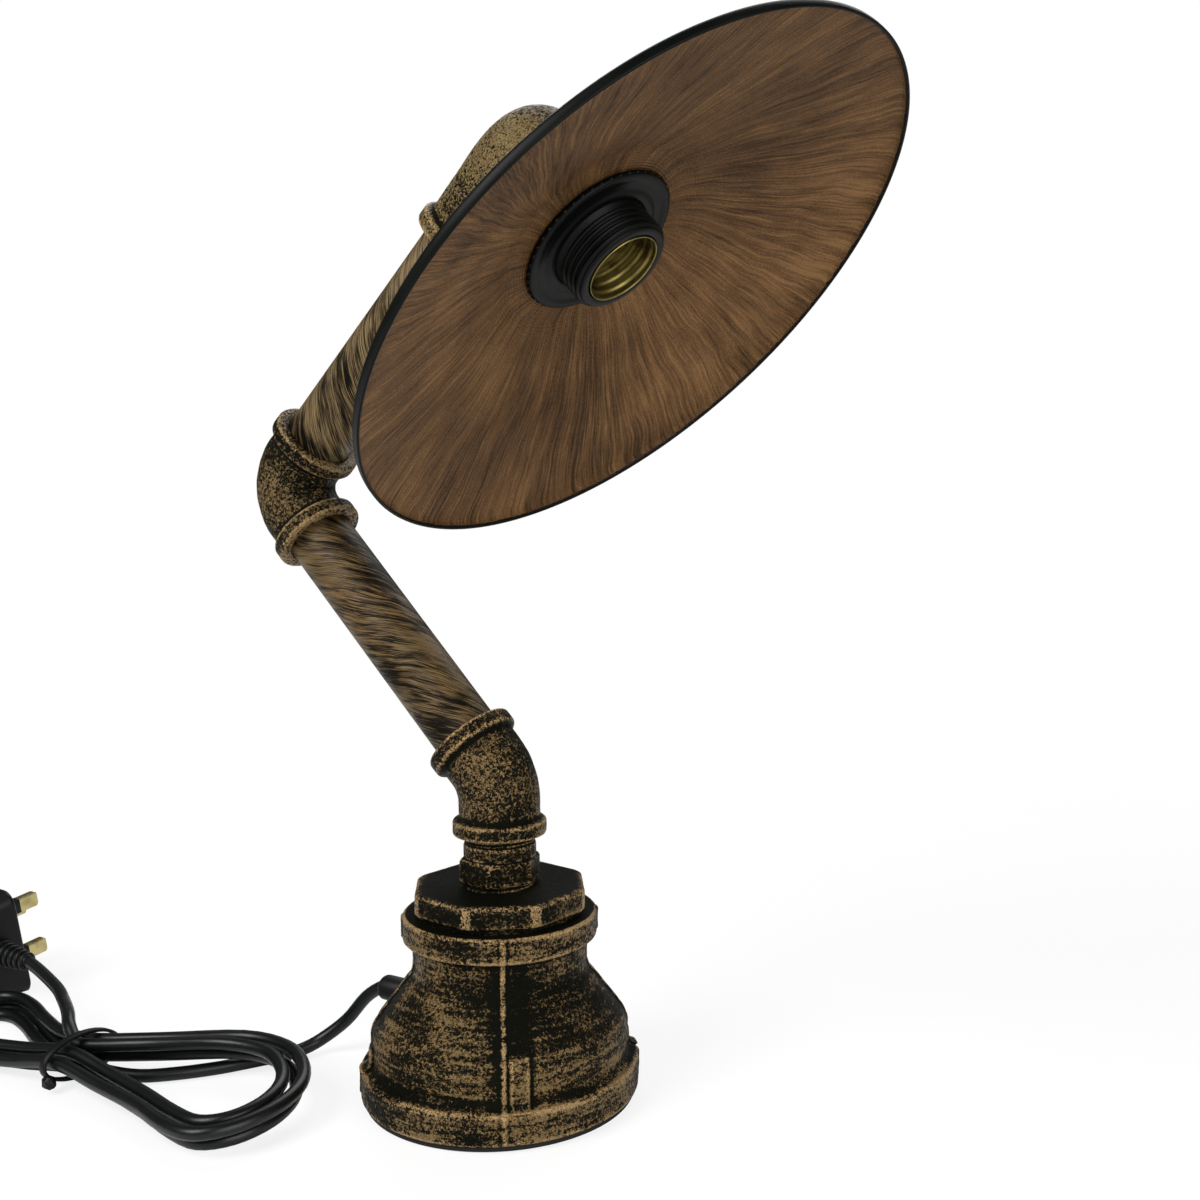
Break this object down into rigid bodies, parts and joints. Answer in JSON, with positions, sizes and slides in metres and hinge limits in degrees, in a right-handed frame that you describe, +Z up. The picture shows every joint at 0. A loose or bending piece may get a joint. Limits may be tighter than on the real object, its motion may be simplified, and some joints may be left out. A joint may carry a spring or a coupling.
{
  "type": "table lamp",
  "caption": "Table lamp of cast pipe fittings with a bell foot, two tube arms in a zigzag, a shallow copper-brown shade, screw lampholder, cord hank and flat-pin plug",
  "frame": {"origin": "middle of the underside of the foot pad", "axes": "+Z up, the head reaches toward +X, the lower arm leans toward -X, +Y away from the viewer"},
  "size_m": [0.4317, 0.225, 0.3718],
  "materials": {
    "cast_bronzed": "rough sand casting, near-black coat brushed with antique copper-gold",
    "tube_bronzed": "drawn steel tube with fine round brush strokes of antique bronze over black",
    "shade_copper": "spun sheet steel, copper-brown lacquer brushed outward, black lip",
    "black_phenolic": "moulded, satin black",
    "black_nylon": "moulded, matt black",
    "pad_rubber": "flat cut rubber sheet",
    "screw_steel": "blackened",
    "brass": "bright drawn brass",
    "ceramic": "pale moulded insert",
    "cord_pvc": "black sheath with a soft sheen",
    "plug_pvc": "moulded black, soft sheen"
  },
  "bodies": {
    "base": {"base_reducer": "cast_bronzed", "base_pad": "pad_rubber", "octagon_bush": "cast_bronzed", "hex_nipple": "cast_bronzed", "cord_gland": "black_nylon", "gland_nut": "black_nylon", "lead_base": "cord_pvc", "cord": "cord_pvc", "cord_hank": "cord_pvc", "hank_tie": "black_nylon", "cord_tail": "cord_pvc", "plug_body": "plug_pvc", "live_pin": "brass", "neutral_pin": "brass", "earth_pin": "brass", "fuse_cover": "plug_pvc"},
    "lower_arm": {"lower_elbow": "cast_bronzed", "lower_pipe": "tube_bronzed", "lead_lower": "cord_pvc"},
    "upper_arm": {"middle_elbow": "cast_bronzed", "upper_pipe": "tube_bronzed", "lead_upper": "cord_pvc"},
    "head": {"top_elbow": "cast_bronzed", "holder_body": "black_phenolic", "holder_screw": "screw_steel", "shade": "shade_copper", "screw_shell": "brass", "contact_base": "ceramic", "side_contact": "brass", "terminal_live": "brass", "terminal_neutral": "brass", "lead_head": "cord_pvc"},
    "ring": {"shade_ring": "black_phenolic"},
    "contact": {"centre_contact": "brass"}
  },
  "joints": [
    {"name": "base_swivel", "type": "hinge", "parent": "base", "child": "lower_arm", "pos_m": [0, 0, 0.1037], "axis": [0, 0, 1], "range_deg": [-170, 170]},
    {"name": "arm_swivel", "type": "hinge", "parent": "lower_arm", "child": "upper_arm", "pos_m": [-0.10458, 0, 0.22278], "axis": [-0.7071, 0, 0.7071], "range_deg": [-60, 60]},
    {"name": "head_swivel", "type": "hinge", "parent": "upper_arm", "child": "head", "pos_m": [0.01252, 0, 0.33988], "axis": [0.7071, 0, 0.7071], "range_deg": [-90, 90]},
    {"name": "ring_turn", "type": "hinge", "parent": "head", "child": "ring", "pos_m": [0.04384, 0, 0.30855], "axis": [0.7071, 0, -0.7071], "range_deg": [-180, 180]},
    {"name": "contact_spring", "type": "slide", "parent": "head", "child": "contact", "axis": [-0.7071, 0, 0.7071], "range_m": [0, 0.0015], "stiffness_N_per_m": 400}
  ]
}
